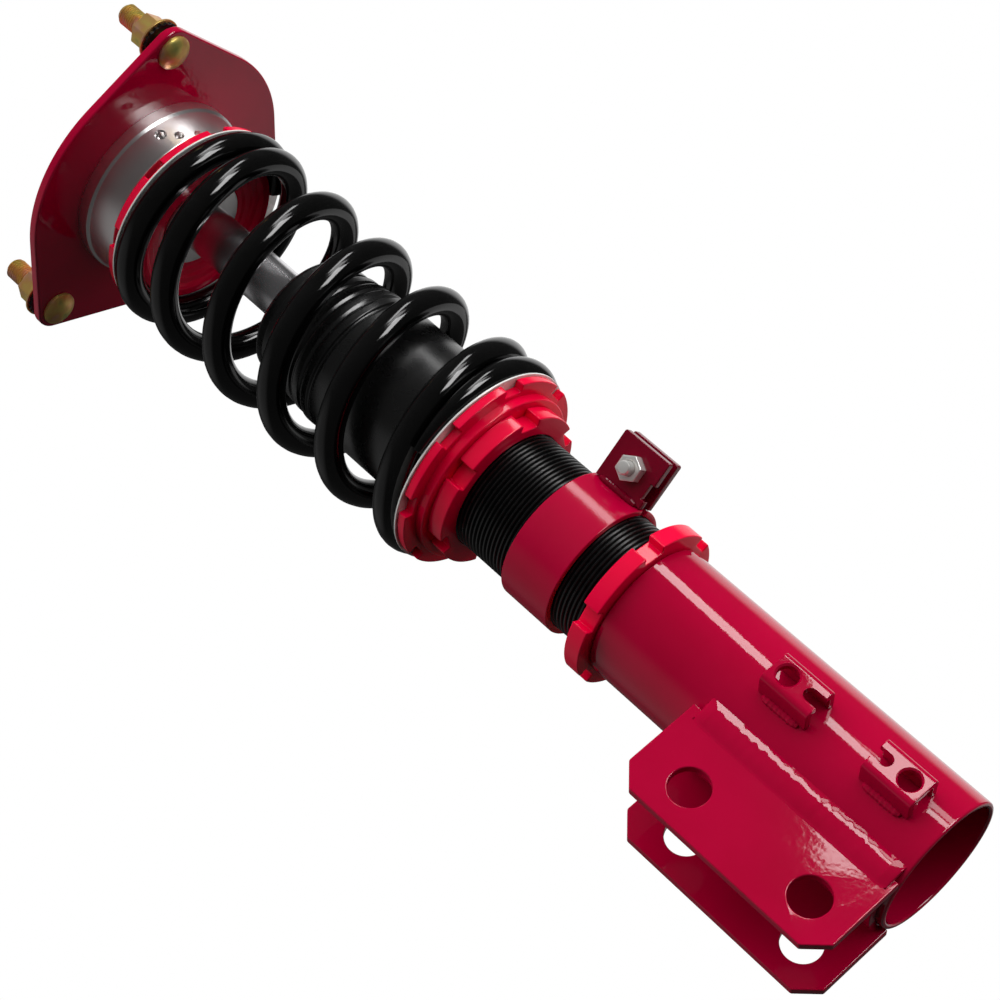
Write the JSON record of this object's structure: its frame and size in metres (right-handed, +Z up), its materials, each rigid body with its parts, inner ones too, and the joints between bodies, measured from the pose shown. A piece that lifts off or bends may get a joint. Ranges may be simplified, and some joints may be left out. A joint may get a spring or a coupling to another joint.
{
  "type": "coilover strut",
  "caption": "Threaded coilover strut with a pillow-ball top plate, adjustable spring seat, clamp, dust boot and a clevis bracket for the knuckle.",
  "frame": {"origin": "centre of the top plate's upper face, on the strut axis", "axes": "+Z up along the strut axis into the car's strut tower; +X from the strut axis towards the knuckle, the way the clevis ears point; +Y along the knuckle bolts, towards the hose brackets"},
  "size_m": [0.1388, 0.144, 0.49],
  "materials": {
    "red_paint": "gloss candy red paint over steel",
    "red_anodised": "bright red anodised, turned",
    "machined_aluminium": "turned, clear anodised",
    "bright_steel": "ground",
    "hard_chrome": "ground and hard chromed",
    "silver_zinc": "silver zinc plated",
    "yellow_zinc": "yellow zinc plated",
    "black_oxide": "black oxide",
    "black_gloss": "gloss black powder coat",
    "black_thread": "black plated, threaded",
    "boot_rubber": "satin black rubber",
    "seal_rubber": "black seal rubber",
    "bronze_ptfe": "bronze filled PTFE",
    "urethane": "micro-cellular urethane foam",
    "brass": "turned brass"
  },
  "bodies": {
    "tower_mount": {"top_plate": "red_paint", "tower_studs": "yellow_zinc", "stud_washers": "black_oxide", "stud_nuts": "yellow_zinc", "bearing_housing": "machined_aluminium", "bearing_race": "bright_steel", "bearing_circlip": "black_oxide"},
    "pillow_ball": {"bearing_ball": "bright_steel"},
    "rod_unit": {"piston_rod": "hard_chrome", "rod_top_washer": "silver_zinc", "rod_top_nut": "silver_zinc", "rod_collar": "machined_aluminium", "upper_spring_seat": "red_anodised", "upper_seat_washer": "silver_zinc", "main_spring": "black_gloss", "rebound_stop": "bright_steel", "piston": "machined_aluminium", "piston_band": "bronze_ptfe", "rebound_shims": "bright_steel", "compression_shims": "bright_steel", "piston_nut": "silver_zinc"},
    "adjuster": {"adjuster_knob": "red_anodised", "adjuster_needle": "brass"},
    "spring_perch": {"lower_seat_washer": "silver_zinc"},
    "seat_ring": {"lower_spring_seat": "red_anodised"},
    "seat_lock": {"seat_lock_ring": "red_anodised"},
    "damper_body": {"threaded_body": "black_thread", "rod_guide": "machined_aluminium", "rod_seal": "seal_rubber", "gland_ring": "black_oxide", "bump_stop": "urethane", "dust_boot": "boot_rubber", "base_plug": "machined_aluminium", "gas_valve": "brass"},
    "gas_piston": {"floating_piston": "machined_aluminium", "floating_piston_ring": "seal_rubber"},
    "clamp": {"clamp_collar": "red_paint", "clamp_tabs": "red_paint", "clamp_bolt": "silver_zinc", "clamp_nut": "silver_zinc"},
    "knuckle_bracket": {"bracket_tube": "red_paint", "clevis_bracket": "red_paint", "clevis_welds": "red_paint", "upper_hose_bracket": "red_paint", "lower_hose_bracket": "red_paint"},
    "bracket_lock": {"lower_lock_ring": "red_anodised"}
  },
  "joints": [
    {"name": "strut_tilt", "type": "hinge", "parent": "tower_mount", "child": "pillow_ball", "pos_m": [0, 0, -0.012], "axis": [0, 1, 0], "range_deg": [-3, 3]},
    {"name": "steer_swivel", "type": "hinge", "parent": "pillow_ball", "child": "rod_unit", "pos_m": [0, 0, -0.012], "axis": [0, 0, 1], "range_deg": [-40, 40]},
    {"name": "adjuster_turn", "type": "hinge", "parent": "rod_unit", "child": "adjuster", "pos_m": [0, 0, 0.025], "axis": [0, 0, 1], "range_deg": [0, 270]},
    {"name": "damper_stroke", "type": "slide", "parent": "rod_unit", "child": "spring_perch", "axis": [0, 0, 1], "range_m": [0, 0.055], "stiffness_N_per_m": 60000, "springref_m": -0.004, "deforming": ["main_spring"]},
    {"name": "seat_turn", "type": "hinge", "parent": "spring_perch", "child": "seat_ring", "pos_m": [0, 0, -0.2187], "axis": [0, 0, 1], "range_deg": [-1090, 2170]},
    {"name": "seat_lock_turn", "type": "hinge", "parent": "spring_perch", "child": "seat_lock", "pos_m": [0, 0, -0.2267], "axis": [0, 0, 1], "range_deg": [-1090, 2170]},
    {"name": "seat_height", "type": "slide", "parent": "spring_perch", "child": "damper_body", "axis": [0, 0, 1], "range_m": [-0.012, 0.006]},
    {"name": "gas_piston_slide", "type": "slide", "parent": "damper_body", "child": "gas_piston", "axis": [0, 0, 1], "range_m": [-0.013, 0.0005]},
    {"name": "clamp_turn", "type": "hinge", "parent": "damper_body", "child": "clamp", "pos_m": [0, 0, -0.272], "axis": [0, 0, 1], "range_deg": [-45, 45]},
    {"name": "bracket_height", "type": "slide", "parent": "damper_body", "child": "knuckle_bracket", "axis": [0, 0, 1], "range_m": [-0.02, 0.012]},
    {"name": "bracket_lock_turn", "type": "hinge", "parent": "knuckle_bracket", "child": "bracket_lock", "pos_m": [0, 0, -0.305], "axis": [0, 0, 1], "range_deg": [-3610, 2170]}
  ],
  "couplings": [
    {"joint": "seat_turn", "follows": "seat_height", "rad_per_m": -3141.6},
    {"joint": "seat_lock_turn", "follows": "seat_height", "rad_per_m": -3141.6},
    {"joint": "gas_piston_slide", "follows": "damper_stroke", "ratio": -0.2287},
    {"joint": "bracket_lock_turn", "follows": "bracket_height", "rad_per_m": 3141.6}
  ]
}
